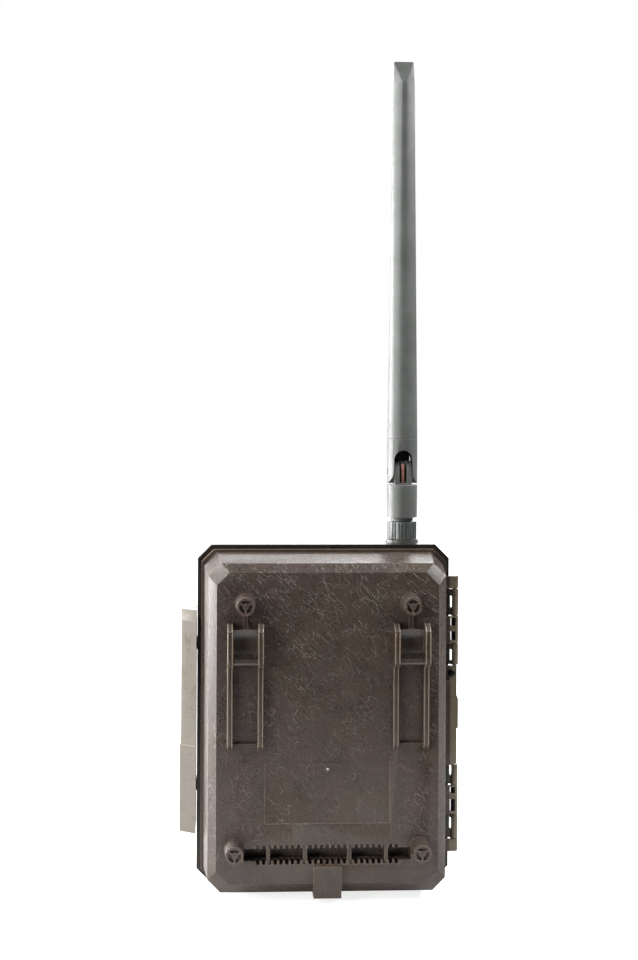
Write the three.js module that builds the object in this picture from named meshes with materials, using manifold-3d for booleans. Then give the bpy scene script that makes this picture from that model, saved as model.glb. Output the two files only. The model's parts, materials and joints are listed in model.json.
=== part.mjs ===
// Trail camera: a clamshell case on a side hinge, a long side latch, strap loops and stand-off
// pegs on its back, a battery tray behind and the optics in front, with a folding whip antenna.
// Millimetres. +X latch side, -X hinge side, -Y lens side, +Y tree side, +Z up, z = 0 underfoot.
import * as THREE from 'three';
import { ConvexGeometry } from 'three/addons/geometries/ConvexGeometry.js';
import { mergeVertices } from 'three/addons/utils/BufferGeometryUtils.js';
import Module from 'manifold-3d';

const wasm = await Module();
wasm.setup();

// ---- Driving dimensions ----

// Clearances
const fit = 0.3; // between pieces that slide, turn or drop in
const seat = 0.05; // between faces that rest on each other
const through = 1; // how far a cutting tool runs past what it cuts

// Flat faces round a circle, by its size
const hexSides = 6;
const fineSides = 8;
const smallSides = 12;
const pinSides = 16;
const roundSides = 24;
const wideSides = 32;
const barrelSides = 40;

// Corners
const cutShrink = 2 - Math.SQRT2; // how fast a corner cut shrinks as its outline moves inward
const smallestCut = 1;

// Case outline
const caseWidth = 102;
const caseHeight = 136;
const wall = 2.2;
const seamY = 2; // rear face of the front rim

// Front half
const frontRimDepth = 7;
const frontCornerCut = 5.6;
const frontWallInset = 2.5; // wall behind the rim edge
const frontDraft = 3.4;
const frontDepth = 45; // seam to lens face
const frontBevel = 4.5;

// Rear half
const rearRimDepth = 3;
const rearRimInset = 1.6; // rear rim inside the front rim
const rearWallInset = 2.6;
const rearDraft = 2;
const rearDepth = 28; // rear rim face to panel
const rearBevel = 3.2;
const rearFoot = 0.9; // how far the lower bevel's foot drops below an even taper
const rearCornerCut = 5;

// Gasket in the rear rim
const gasketWidth = 1.5;
const gasketDepth = 1.2;
const gasketInset = 3.2; // centre line inside the front rim edge

// Pegs on the back
const pegHeight = 9.2;
const pegBaseRadius = 4.1;
const pegTipRadius = 3.4;
const pegCupRadius = 2.6; // hollow round the centre of the tip
const pegCupDepth = 1.4;
const pegHubRadius = 1.1;
const pegHubDrop = 0.3; // hub and webs below the tip's edge
const pegWebs = 3;
const pegWebWidth = 0.6;
const upperPegX = 32.1;
const upperPegZ = 48.2;
const lowerPegX = 36;
const lowerPegZ = -46.5;

// Strap loops
const loopWidth = 14;
const loopBottomZ = -8.2;
const loopTopZ = 38.6; // top of the saddle
const loopRail = 2.2; // thickness of a side rail
const loopRailHeight = 3.3;
const loopRailToe = 2; // length of the sloping foot of a rail
const loopToeHeight = 0.9;
const loopCheekHeight = 8.6;
const loopCheekZ = 25.7; // where the cheeks reach full height
const loopCheekRamp = 1.8; // length of the rise from rail to cheek
const loopCheekTop = 38.4; // where the cheeks begin to fall
const loopCheekEnd = 41;
const loopBarRadius = 1.35;
const loopBarZ = 26.7;
const loopBarHeight = 6.4; // bar centre above the panel
const loopSillHeight = 1.5;
const loopSillRise = 1.3; // sill above the foot of the rails
const loopSillWidth = 1.2;
const loopSaddleHeight = 4.4;
const loopSaddleGap = 1.6; // between the bar and the saddle
const saddleRadius = 9; // hollow of the saddle
const saddleDip = 1.6;
const stemWidth = 1.9; // rib from a loop up to its peg
const stemHeight = 1.6;

// Toothed slot low on the back
const slotHalfWidth = 32.6;
const slotZ = -48.9;
const slotHeight = 4.9;
const slotDepth = 8;
const slotWall = 1.8;
const toothPitch = 2.24;
const notchRadius = 0.72; // round end of each notch between two teeth
const notchHeight = 1.5;
const toothCount = 12; // notches each side of the middle one
const slotRibs = [[8.6, 1.6], [22.9, 1.4]]; // distance from the middle, thickness
const slotRibRecess = 0.8;

// Label recess and vent
const labelWidth = 48.4;
const labelHeight = 24.3;
const labelZ = -24.85;
const labelDepth = 0.35;
const ventRadius = 0.8;
const ventZ = -16;

// Lug under the slot
const lugHalfWidth = 5.4;
const lugTopZ = -53.1;
const lugDrop = 2.6; // lowest point above the ground
const lugProud = 2.1;

// Hinge
const hingeOffset = 2.4; // axis outside the front rim edge
const knuckleRadius = 1.6;
const hingePinRadius = 0.85;
const windowSkin = 0.2; // outer wall of a window stops this far outside the hinge axis
const windowReach = 1.8; // far side of a window inside the hinge axis
// lowest and highest point of each knuckle, then of its windows; the end ones are plain
const rearKnuckles = [
  [[50.3, 55.3]],
  [[28.1, 39], [29.3, 32.9], [35.1, 38.4]],
  [[-41.1, -29.6], [-40, -35.1], [-32.7, -30.2]],
  [[-56.2, -51.3]],
];
const frontKnuckles = [
  [[39.3, 49.9], [42.5, 47.1]],
  [[19.3, 27.8], [20.9, 25.4]],
  [[-29.3, -21.1], [-25.6, -21.7]],
  [[-51, -41.4], [-47.3, -42.8]],
];
const upperPinZ = [17.6, 54.6];
const lowerPinZ = [-55.6, -21.5];
const flangeZ = [-20.8, 19]; // thin flange between the two groups of knuckles
const flangeReach = 0.8; // its edge outside the hinge axis
const flangeDepth = 1.2;
const flangePlateTopZ = 9.9; // thicker plate on the flange
const flangePlateSlope = 3.1;
const flangePlateSetback = 0.3; // its edge inside the hinge axis
const hingeScrewZ = 16.1;
const hingeScrewRadius = 1.5;
const hingeScrewHeight = 1.1;
const hingeScrewShank = 0.8;
const hingeScrewSetback = 1.4; // screw inside the hinge axis
const lipZ = [-6.4, 5.6]; // low lip on the edge of the flange
const lipSlope = 1.4;
const lipReach = 1.4; // how far the lip passes the hinge axis

// Latch
const latchTopZ = 41.5;
const latchBottomZ = -47.5;
const latchSplitZ = -12.5;
const latchStep = 0.4; // lower part stands out this much
const latchWidth = 6.2;
const latchRearReach = 4; // inner rear edge behind the seam
const latchRearSlant = 4.5;
const latchSkin = 2;
const latchBevel = 4;
const latchChamfer = 1; // along the lever's outer front edge
const latchNoseSteps = 6;
const latchPinRadius = 1;
const latchPinInset = 2.65; // pin centre outside the lever's inner face
const latchPinSetback = 16; // pin centre ahead of the seam
const latchEars = [26, -32];
const latchEarHeight = 5;
const latchEarRadius = 2.4;

// Battery tray and cells
const cellRadius = 7.1;
const cellLength = 50.5;
const cellColumns = 4;
const cellButtonRadius = 2.6;
const cellButtonHeight = 1;
const trayWall = 1.6;
const trayLip = 0.4; // tray edge behind the rear rim face
const cellRise = 3.5; // cell axis behind the rear rim face
const contactThickness = 0.5;
const contactReach = 3; // strip edge ahead of the cell axis
const trayPostX = 24;
const trayPostZ = [44, -36];

// Inner cover, screen and controls
const coverThickness = 1.6;
const coverRecess = 7.5; // cover face ahead of the seam
const screenWidth = 44;
const screenHeight = 33;
const screenZ = 27;
const screenThickness = 3;
const screenBorder = 1.5;
const buttonRadius = 3.4;
const buttonFlange = 0.9;
const buttonProud = 0.9;
const buttonSpacing = 11;
const buttonZ = -19;
const switchX = -6;
const switchZ = -46;
const switchTravel = 8;
const knobWidth = 4;
const knobHeight = 5;
const knobFlange = 1; // wider than the knob on each side
const cardSlotX = 38.2;
const sdCard = [2.1, 32, 24]; // thickness, length, width
const sdZ = 8;
const simCard = [0.8, 15, 12];
const simZ = 8;
const cardProud = 1.4;
const cardSleeve = 1.2;
const coverScrewRadius = 1.2;
const coverScrewHeadRadius = 2.2;
const coverScrewLength = 9;
const coverScrewInset = [12.4, 12.4]; // from the rim edge, across and up
const postRadius = 3.2;

// Boards
const boardThickness = 1.6;
const mainBoardWidth = 64;
const mainBoardHeight = 92;
const mainBoardGap = 7; // behind the cover
const standoffRadius = 2.4;
const standoffInset = 5;

// Front face
const lensZ = 1;
const lensRadius = 7;
const lensLength = 22;
const lensGlassRadius = 5.8;
const lensGlassThickness = 1.4;
const bezelRadius = 12;
const bezelProud = 2.2;
const bezelSpigot = 1.5; // wall of the bezel's spigot
const lensProud = 0.6;
const cameraBoardSize = 26;
const irWidth = 62;
const irHeight = 27;
const irZ = 35;
const irThickness = 1.2;
const irLedge = 2;
const irBoardSetback = 9; // board behind the lens face
const heatSinkThickness = 3;
const irLedRadius = 2.5;
const irLedLength = 4;
const irLedColumns = 6;
const irLedRows = 3;
const irLedPitch = [8.9, 7.7];
const pirZ = -27;
const pirRadius = 13;
const pirProud = 6;
const pirSkin = 1;
const pirSteps = 5; // rings in its dome
const pirFlange = 1.6;
const pirCanRadius = 4.6;
const pirCanHeight = 4.5;
const pirBoardSize = 16;
const pirBoardSetback = 14;
const statusX = 17;
const statusRadius = 1.5;
const statusFlangeRadius = 2.3;

// Tripod boss
const bossWidth = 18;
const bossDepth = 18;
const bossSetback = 12; // boss ahead of the seam
const bossHeight = 11;
const socketRadius = 3.175;
const socketDepth = 9.5;

// Antenna seat on the top of the front half
const antennaX = -33.3;
const antennaSetback = 14; // antenna axis ahead of the seam
const seatRadius = 7.6;
const seatDrop = 0.9; // seat face below the top of the rim
const jackRadius = 3.1;
const jackFlangeRadius = 4;
const jackFlangeHeight = 1.6;
const jackThread = 5.4; // thread above the seat
const jackTail = 7;
const jackTailRadius = 1.6;
const ringRadius = 6.8;
const ringHeight = 1.7;

// Antenna
const nutRadius = 6.15;
const nutHeight = 7.1;
const nutLip = 1.6;
const nutFlutes = 24;
const nutFluteRadius = 0.3;
const spigotRadius = 3.4;
const spigotFlangeRadius = 4.4;
const spigotFlangeHeight = 1.2;
const neckRadius = 4.6;
const neckHeight = 1.4;
const barrelRadius = 6.25;
const barrelHeight = 13.5;
const pivotRise = 5.4; // tilt axis above the barrel
const tongueWidth = 7.1;
const tongueRadius = 4.5;
const coaxSlit = 3;
const coaxRadius = 0.9;
const coaxSetback = 2.4; // coax behind the tilt axis
const coaxRise = 3.3;
const tiltPinRadius = 1.2;
const forkEndRadius = 4.8;
const forkTop = 13.6; // top of the fork above the tilt axis
const forkArchTop = 9; // top of the arch above the tilt axis
const forkBack = 1.2; // wall left behind the arch
const forkPlugRadius = 4.2;
const forkPlugLength = 9;
const sleeveLength = 156.5;
const sleeveTipWidth = 8.7;
const sleeveTipDepth = 7.6;
const sleeveTopFacet = 8.7; // height of the sloping facet at the tip
const sleeveTipTaper = 0.5;
const sleeveRidge = 2;
const bladeShoulder = 0.45; // height of the blade's side edges, as a share of its half depth
const sleeveBoreRadius = 2.9;
const sleeveEnd = 6;
const elementWidth = 4;
const elementThickness = 1;

// ---- Places worked out from them ----

const rearSeamY = seamY + fit;
const panelY = rearSeamY + rearDepth;
const bevelY = panelY - rearBevel;
const frontFaceY = seamY - frontDepth;
const frontBevelY = frontFaceY + frontBevel;
const frontRimY = seamY - frontRimDepth;
const rearCavityInset = rearWallInset + wall;
const frontCavityInset = frontWallInset + wall;
const rearInsideY = panelY - wall;
const frontInsideY = frontFaceY + wall;
const hingeX = -caseWidth / 2 - hingeOffset;
const hingeY = seamY + fit / 2;
const coverFaceY = seamY - coverRecess;
const coverBackY = coverFaceY - coverThickness;
const boardFaceY = coverBackY - mainBoardGap;
const screwX = caseWidth / 2 - coverScrewInset[0];
const screwZ = caseHeight / 2 - coverScrewInset[1];
const screwPlaces = [[screwX, screwZ], [-screwX, screwZ], [-screwX, -screwZ], [screwX, -screwZ]];
const groundZ = -caseHeight / 2;
const bossY = seamY - bossSetback - bossDepth / 2;
const hingeScrewX = hingeX + hingeScrewSetback;
const hingeScrewTipY = rearSeamY + fit;
const latchInnerX = caseWidth / 2 + fit;
const latchPinX = latchInnerX + latchPinInset;
const latchPinY = seamY - latchPinSetback;
const latchRearY = seamY + latchRearReach;
const cellPitch = 2 * cellRadius + fit;
const cellZ = contactThickness / 2 + fit + cellLength / 2;
const stripZ = cellZ + cellLength / 2 + fit + contactThickness / 2;
const trayFaceY = rearSeamY + trayLip;
const cellY = rearSeamY + cellRise;
const trayFloorY = cellY + cellRadius + seat;
const trayBackY = trayFloorY + trayWall;
const trayInnerX = (cellColumns * cellPitch) / 2;
const trayInnerZ = stripZ + contactThickness / 2 + seat;
const coverInset = frontInsideInset(coverBackY) + fit;
const buttonPlaces = [
  ['ok', 0, buttonZ], ['up', 0, buttonZ + buttonSpacing], ['down', 0, buttonZ - buttonSpacing],
  ['left', buttonSpacing, buttonZ], ['right', -buttonSpacing, buttonZ],
];
const lensFrontY = frontFaceY - lensProud;
const spigotBore = lensRadius + fit + bezelSpigot + fit;
const cameraBoardY = lensFrontY + lensLength + seat + boardThickness;
const irBoardY = frontFaceY + irBoardSetback;
const pirBoardY = frontFaceY + pirBoardSetback;
const antennaY = seamY - antennaSetback;
const antennaSeatZ = caseHeight / 2 - seatDrop;
const seatThickness = frontInsideInset(antennaY - jackFlangeRadius) + fit - seatDrop;

// Heights in the antenna, above its seat
const nutFootZ = ringHeight + fit;
const nutTopZ = nutFootZ + nutHeight;
const barrelFootZ = nutTopZ + fit + neckHeight;
const barrelTopZ = barrelFootZ + barrelHeight;
const pivotZ = barrelTopZ + pivotRise;
const slitFootZ = barrelTopZ + coaxRadius;

// How far the front cavity's wall is inside the rim edge at a depth
function frontInsideInset(y) {
  const mouthY = seamY + through;
  return frontCavityInset + (frontDraft * (mouthY - y)) / (mouthY - frontBevelY - wall / 2);
}

// ---- Finishes ----

const finishes = {
  case: { color: 0x493c33, roughness: 0.5, metalness: 0 },
  smooth: { color: 0x40342c, roughness: 0.35, metalness: 0 },
  dark: { color: 0x26282a, roughness: 0.45, metalness: 0 },
  antenna: { color: 0x3a3d3d, roughness: 0.4, metalness: 0 },
  inner: { color: 0x2b2c2e, roughness: 0.6, metalness: 0 },
  rubber: { color: 0x1b1b1b, roughness: 0.85, metalness: 0 },
  steel: { color: 0x8d8f92, roughness: 0.35, metalness: 1 },
  blackSteel: { color: 0x1a1a1b, roughness: 0.4, metalness: 1 },
  brass: { color: 0xb08d4a, roughness: 0.35, metalness: 1 },
  nickel: { color: 0xb9b6ab, roughness: 0.3, metalness: 1 },
  cell: { color: 0x2f4a3a, roughness: 0.35, metalness: 0.2 },
  board: { color: 0x1f5a37, roughness: 0.55, metalness: 0 },
  glass: { color: 0x0c0e12, roughness: 0.08, metalness: 0 },
  screen: { color: 0x10161c, roughness: 0.12, metalness: 0 },
  irPanel: { color: 0x141013, roughness: 0.15, metalness: 0 },
  pir: { color: 0xd8d6cd, roughness: 0.4, metalness: 0 },
  white: { color: 0xeceae4, roughness: 0.7, metalness: 0 },
  button: { color: 0x6b6e70, roughness: 0.6, metalness: 0 },
  switch: { color: 0xb5552b, roughness: 0.5, metalness: 0 },
  coax: { color: 0x9c6a5c, roughness: 0.6, metalness: 0 },
  card: { color: 0x24405f, roughness: 0.45, metalness: 0 },
};

// ---- Solids ----

const weld = 1e-4; // vertices closer than this are one

function solidOf(geometry) {
  const bare = geometry.clone();
  bare.deleteAttribute('normal');
  bare.deleteAttribute('uv');
  const merged = mergeVertices(bare, weld);
  const corners = [];
  for (let i = 0; i < merged.index.count; i += 3) {
    const [a, b, c] = [merged.index.getX(i), merged.index.getX(i + 1), merged.index.getX(i + 2)];
    if (a !== b && b !== c && c !== a) corners.push(a, b, c);
  }
  const vertProperties = Float32Array.from(merged.attributes.position.array);
  const triVerts = Uint32Array.from(corners);
  return new wasm.Manifold(new wasm.Mesh({ numProp: 3, vertProperties, triVerts }));
}

function geometryOf(solid) {
  const { vertProperties, triVerts } = solid.getMesh();
  const indexed = new THREE.BufferGeometry();
  indexed.setAttribute('position', new THREE.BufferAttribute(Float32Array.from(vertProperties), 3));
  indexed.setIndex(new THREE.BufferAttribute(Uint32Array.from(triVerts), 1));
  const geometry = indexed.toNonIndexed();
  geometry.computeVertexNormals();
  return geometry;
}

function join(...solids) {
  return solids.reduce((sum, solid) => sum.add(solid));
}

function cut(solid, ...tools) {
  return tools.reduce((rest, tool) => rest.subtract(tool), solid);
}

function block([x0, x1], [y0, y1], [z0, z1]) {
  const geometry = new THREE.BoxGeometry(x1 - x0, y1 - y0, z1 - z0);
  return solidOf(geometry.translate((x0 + x1) / 2, (y0 + y1) / 2, (z0 + z1) / 2));
}

// A cylinder or cone about Z, from its foot up
function rodZ(radius, z0, z1, segments = roundSides, topRadius = radius) {
  const geometry = new THREE.CylinderGeometry(topRadius, radius, z1 - z0, segments);
  return solidOf(geometry.rotateX(Math.PI / 2).translate(0, 0, (z0 + z1) / 2));
}

// The same about Y
function rodY(radius, y0, y1, segments = roundSides, farRadius = radius) {
  const geometry = new THREE.CylinderGeometry(farRadius, radius, y1 - y0, segments);
  return solidOf(geometry.translate(0, (y0 + y1) / 2, 0));
}

function rodX(radius, x0, x1, segments = roundSides) {
  const geometry = new THREE.CylinderGeometry(radius, radius, x1 - x0, segments);
  return solidOf(geometry.rotateZ(-Math.PI / 2).translate((x0 + x1) / 2, 0, 0));
}

// A body of revolution about Z; points are [radius, z]
function turned(points, segments = wideSides) {
  const profile = points.map(([radius, z]) => new THREE.Vector2(radius, z));
  return solidOf(new THREE.LatheGeometry(profile, segments).rotateX(Math.PI / 2));
}

function outlineOf(points) {
  return new THREE.Shape(points.map(([u, v]) => new THREE.Vector2(u, v)));
}

// An outline in X and Y, drawn upward
function prismZ(shape, z0, z1) {
  const geometry = new THREE.ExtrudeGeometry(shape, { depth: z1 - z0, bevelEnabled: false });
  return solidOf(geometry.translate(0, 0, z0));
}

// An outline in X and Z, drawn backward
function prismY(shape, y0, y1) {
  const geometry = new THREE.ExtrudeGeometry(shape, { depth: y1 - y0, bevelEnabled: false });
  return solidOf(geometry.rotateX(Math.PI / 2).translate(0, y1, 0));
}

// An outline in Y and Z, drawn sideways
function prismX(shape, x0, x1) {
  const geometry = new THREE.ExtrudeGeometry(shape, { depth: x1 - x0, bevelEnabled: false });
  geometry.rotateX(Math.PI / 2);
  geometry.rotateZ(Math.PI / 2);
  return solidOf(geometry.translate(x0, 0, 0));
}

// The case outline moved inward, with its corners cut, at one depth; foot lowers its bottom edge
function caseRing(inset, cornerCut, y, foot = 0) {
  const halfX = caseWidth / 2 - inset;
  const halfZ = caseHeight / 2 - inset;
  const footZ = -halfZ - foot;
  const corners = [
    [halfX - cornerCut, halfZ], [halfX, halfZ - cornerCut],
    [halfX, footZ + cornerCut], [halfX - cornerCut, footZ],
  ];
  return corners.flatMap(([x, z]) => [new THREE.Vector3(x, y, z), new THREE.Vector3(-x, y, z)]);
}

function loft(...rings) {
  return solidOf(new ConvexGeometry(rings.flat()));
}

// The corner cut that keeps a wall even when an outline moves inward
function innerCut(cornerCut, distance) {
  return Math.max(cornerCut - distance * cutShrink, smallestCut);
}

function copies(solid, places) {
  return places.map(([x, y, z]) => solid.translate([x, y, z]));
}

function mesh(name, solid, finish) {
  const piece = new THREE.Mesh(geometryOf(solid), new THREE.MeshStandardMaterial(finishes[finish]));
  piece.name = name;
  return piece;
}

function place(piece, x, y, z) {
  piece.position.set(x, y, z);
  return piece;
}

// ---- Hinge ----

// Barrel on the hinge axis with an arm to a rim, and windows that show the pin
function knuckle([span, ...windows], armX, armY) {
  const barrel = rodZ(knuckleRadius, ...span, smallSides).translate([hingeX, hingeY, 0]);
  const windowX = [hingeX - windowSkin, hingeX + windowReach];
  const windowY = [armY[0] - through, armY[1] + through];
  return cut(
    join(barrel, block([hingeX, armX], armY, span)),
    ...windows.map((windowZ) => block(windowX, windowY, windowZ)),
  );
}

function pinBore([z0, z1]) {
  return rodZ(hingePinRadius + fit, z0 - fit, z1 + fit, smallSides).translate([hingeX, hingeY, 0]);
}

function hingePin(name, [z0, z1]) {
  return place(mesh(name, rodZ(hingePinRadius, z0, z1, pinSides), 'blackSteel'), hingeX, hingeY, 0);
}

// ---- Rear half ----

function rearBody() {
  const rimEndY = rearSeamY + rearRimDepth;
  const panelInset = rearWallInset + rearDraft + rearBevel;
  const rim = loft(
    caseRing(rearRimInset, rearCornerCut, rearSeamY),
    caseRing(rearRimInset, rearCornerCut, rimEndY),
  );
  const body = loft(
    caseRing(rearWallInset, rearCornerCut, rearSeamY),
    caseRing(rearWallInset + rearDraft, rearCornerCut, bevelY, rearFoot),
    caseRing(panelInset, rearCornerCut, panelY),
  );
  const cavityCut = innerCut(rearCornerCut, wall);
  const cavity = loft(
    caseRing(rearCavityInset, cavityCut, rearSeamY - through),
    caseRing(rearCavityInset + rearDraft, cavityCut, bevelY - wall / 2),
    caseRing(panelInset + wall / 2, cavityCut, rearInsideY),
  );
  return cut(join(rim, body), cavity);
}

function gasketRing(slack) {
  const half = gasketWidth / 2 + slack;
  const [y0, y1] = [rearSeamY - slack * through, rearSeamY + gasketDepth + slack];
  const outer = innerCut(rearCornerCut, gasketInset - half);
  const inner = innerCut(rearCornerCut, gasketInset + half);
  const whole = loft(caseRing(gasketInset - half, outer, y0), caseRing(gasketInset - half, outer, y1));
  const hole = loft(
    caseRing(gasketInset + half, inner, y0 - through),
    caseRing(gasketInset + half, inner, y1 + through),
  );
  return cut(whole, hole);
}

// A stand-off peg: a cupped tip with a hub in the middle and webs out to its rim
function peg() {
  const body = rodY(pegBaseRadius, -wall / 2, pegHeight, roundSides, pegTipRadius);
  const cupFoot = pegHeight - pegCupDepth;
  const hubTop = pegHeight - pegHubDrop;
  const cup = rodY(pegCupRadius, cupFoot, pegHeight + through, roundSides);
  const hub = rodY(pegHubRadius, cupFoot - pegCupDepth, hubTop, pinSides);
  const web = block([0, pegCupRadius + fit], [cupFoot - fit, hubTop], [-pegWebWidth / 2, pegWebWidth / 2]);
  const webs = [];
  for (let i = 0; i < pegWebs; i += 1) {
    webs.push(web.rotate([0, 90 + (i * 360) / pegWebs, 0]));
  }
  return join(cut(body, cup), hub, ...webs);
}

// The strap slot: what it adds inside the shell, what it cuts away, and the ribs left across it
function strapSlot() {
  const half = slotHeight / 2;
  const outerX = slotHalfWidth + slotWall;
  const outerHalf = half + notchHeight + slotWall;
  const backY = panelY - slotDepth;
  const housing = block([-outerX, outerX], [backY - slotWall, panelY - wall / 2], [-outerHalf, outerHalf]);
  const cuts = [block([-slotHalfWidth, slotHalfWidth], [backY, panelY + through], [-half, half])];
  const notchZ = half + notchHeight;
  const notchY = [panelY - 2 * wall, panelY + through];
  const roundZ = notchZ - notchRadius;
  const notch = join(
    rodY(notchRadius, ...notchY, smallSides).translate([0, 0, roundZ]),
    rodY(notchRadius, ...notchY, smallSides).translate([0, 0, -roundZ]),
    block([-notchRadius, notchRadius], notchY, [-roundZ, roundZ]),
  );
  for (let i = -toothCount; i <= toothCount; i += 1) {
    cuts.push(notch.translate([i * toothPitch, 0, 0]));
  }
  const ribs = [];
  for (const [x, thickness] of slotRibs) {
    for (const middle of [-x, x]) {
      const ribX = [middle - thickness / 2, middle + thickness / 2];
      ribs.push(block(ribX, [backY - slotWall / 2, panelY - slotRibRecess], [-notchZ, notchZ]));
    }
  }
  return [housing, join(...cuts), join(...ribs)].map((solid) => solid.translate([0, 0, slotZ]));
}

function rearShell() {
  const [slotHousing, slotOpening, slotWebs] = strapSlot();
  const pegPlaces = [-1, 1].flatMap((side) => [
    [side * upperPegX, panelY, upperPegZ],
    [side * lowerPegX, panelY, lowerPegZ],
  ]);
  const lug = block(
    [-lugHalfWidth, lugHalfWidth],
    [bevelY - rearBevel, panelY + lugProud],
    [groundZ + lugDrop, lugTopZ],
  );
  const rimX = -caseWidth / 2 + rearRimInset + wall / 2;
  const rimY = [rearSeamY, rearSeamY + rearRimDepth];
  const armY = [rearSeamY, hingeY + knuckleRadius];
  const flangeX = hingeX - flangeReach;
  const plateX = hingeX + flangePlateSetback;
  const flange = prismY(outlineOf([
    [rimX, flangeZ[0]], [rimX, flangeZ[1]], [flangeX, flangeZ[1]], [flangeX, lipZ[1] + lipSlope],
    [hingeX - lipReach, lipZ[1]], [hingeX - lipReach, lipZ[0]], [flangeX, lipZ[0]], [flangeX, flangeZ[0]],
  ]), rearSeamY, rearSeamY + flangeDepth);
  const plate = prismY(outlineOf([
    [rimX, flangeZ[0]], [rimX, flangePlateTopZ + flangePlateSlope],
    [-caseWidth / 2, flangePlateTopZ + flangePlateSlope],
    [plateX, flangePlateTopZ], [plateX, flangeZ[0]],
  ]), ...rimY);
  const trayPosts = copies(
    rodY(postRadius, trayBackY + seat, rearInsideY + wall / 2, pinSides),
    [[trayPostX, 0, trayPostZ[0]], [-trayPostX, 0, trayPostZ[0]],
      [trayPostX, 0, trayPostZ[1]], [-trayPostX, 0, trayPostZ[1]]],
  );
  const solid = join(
    rearBody(), slotHousing, lug, flange, plate,
    ...copies(peg(), pegPlaces), ...trayPosts,
    ...rearKnuckles.map((row) => knuckle(row, rimX, armY)),
  );
  const label = block(
    [-labelWidth / 2, labelWidth / 2],
    [panelY - labelDepth, panelY + through],
    [labelZ - labelHeight / 2, labelZ + labelHeight / 2],
  );
  const vent = rodY(ventRadius + seat, rearInsideY - through, panelY, pinSides).translate([0, 0, ventZ]);
  const screwHole = rodY(hingeScrewShank + seat, hingeScrewTipY - seat, rimY[1] + through, smallSides)
    .translate([hingeScrewX, 0, hingeScrewZ]);
  const open = cut(solid, slotOpening, label, vent, screwHole, gasketRing(fit / 2));
  return cut(join(open, slotWebs), pinBore(upperPinZ), pinBore(lowerPinZ));
}

function hingeScrew() {
  const headY = rearSeamY + flangeDepth + seat;
  return join(
    rodY(hingeScrewRadius, headY, headY + hingeScrewHeight, pinSides),
    rodY(hingeScrewShank, hingeScrewTipY, headY + hingeScrewHeight / 2, smallSides),
  );
}

// Two rails that rise into cheeks, with a round bar, a sill, a saddle and a stem up to the peg
function strapLoop() {
  const half = loopWidth / 2;
  const side = prismX(outlineOf([
    [seat, loopBottomZ], [loopToeHeight, loopBottomZ], [loopRailHeight, loopBottomZ + loopRailToe],
    [loopRailHeight, loopCheekZ - loopCheekRamp], [loopCheekHeight, loopCheekZ],
    [loopCheekHeight, loopCheekTop], [loopSaddleHeight, loopCheekEnd], [seat, loopCheekEnd],
  ]), 0, loopRail);
  const bar = rodX(loopBarRadius, -half, half, pinSides).translate([0, loopBarHeight, loopBarZ]);
  const sillZ = loopBottomZ + loopSillRise;
  const sill = block([-half, half], [seat, loopSillHeight], [sillZ, sillZ + loopSillWidth]);
  const saddleZ = loopBarZ + loopBarRadius + loopSaddleGap;
  const saddle = block([-half, half], [seat, loopSaddleHeight], [saddleZ, loopTopZ]);
  const hollow = rodX(saddleRadius, loopRail - half, half - loopRail, wideSides)
    .translate([0, loopSaddleHeight + saddleRadius - saddleDip, (saddleZ + loopTopZ) / 2]);
  const stem = block(
    [-stemWidth / 2, stemWidth / 2],
    [seat, stemHeight],
    [loopTopZ - loopRail, upperPegZ - pegBaseRadius - fit],
  );
  return join(
    side.translate([-half, 0, 0]), side.translate([half - loopRail, 0, 0]),
    bar, sill, cut(saddle, hollow), stem,
  );
}

// ---- Battery tray, in the rear half ----

function batteryTray() {
  const [halfX, halfZ] = [trayInnerX + trayWall, trayInnerZ + trayWall];
  const whole = block([-halfX, halfX], [trayFaceY, trayBackY], [-halfZ, halfZ]);
  const inside = block(
    [-trayInnerX, trayInnerX],
    [trayFaceY - through, trayFloorY],
    [-trayInnerZ, trayInnerZ],
  );
  return cut(whole, inside);
}

function batteryCell() {
  const bodyLength = cellLength - cellButtonHeight;
  return join(
    rodZ(cellRadius, -cellLength / 2, bodyLength - cellLength / 2, roundSides),
    rodZ(cellButtonRadius, -cellLength / 4, cellLength / 2, smallSides),
  );
}

function contactStrip() {
  const halfX = trayInnerX - seat;
  const half = contactThickness / 2;
  return block([-halfX, halfX], [cellY - contactReach, trayFloorY - seat], [-half, half]);
}

// ---- Front half ----

function frontBody() {
  const panelInset = frontWallInset + frontDraft + frontBevel;
  const rim = loft(caseRing(0, frontCornerCut, seamY), caseRing(0, frontCornerCut, frontRimY));
  const body = loft(
    caseRing(frontWallInset, frontCornerCut, seamY),
    caseRing(frontWallInset + frontDraft, frontCornerCut, frontBevelY),
    caseRing(panelInset, frontCornerCut, frontFaceY),
  );
  const cavityCut = innerCut(frontCornerCut, wall);
  const cavity = loft(
    caseRing(frontCavityInset, cavityCut, seamY + through),
    caseRing(frontCavityInset + frontDraft, cavityCut, frontBevelY + wall / 2),
    caseRing(panelInset + wall / 2, cavityCut, frontInsideY),
  );
  return cut(join(rim, body), cavity);
}

function latchEar() {
  const half = latchEarHeight / 2;
  const wallX = caseWidth / 2 - frontCavityInset;
  const arm = block([wallX, latchPinX], [-latchEarRadius, latchEarRadius], [-half, half]);
  const eye = rodZ(latchEarRadius, -half, half, roundSides).translate([latchPinX, 0, 0]);
  const hole = rodZ(latchPinRadius + seat, -half - through, half + through, pinSides);
  return cut(join(arm, eye), hole.translate([latchPinX, 0, 0]));
}

function coverPost() {
  const post = rodY(postRadius, frontInsideY - wall / 2, coverBackY - seat, pinSides);
  const hole = rodY(coverScrewRadius + seat, coverFaceY - coverScrewLength - seat, coverFaceY, smallSides);
  return cut(post, hole);
}

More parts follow.
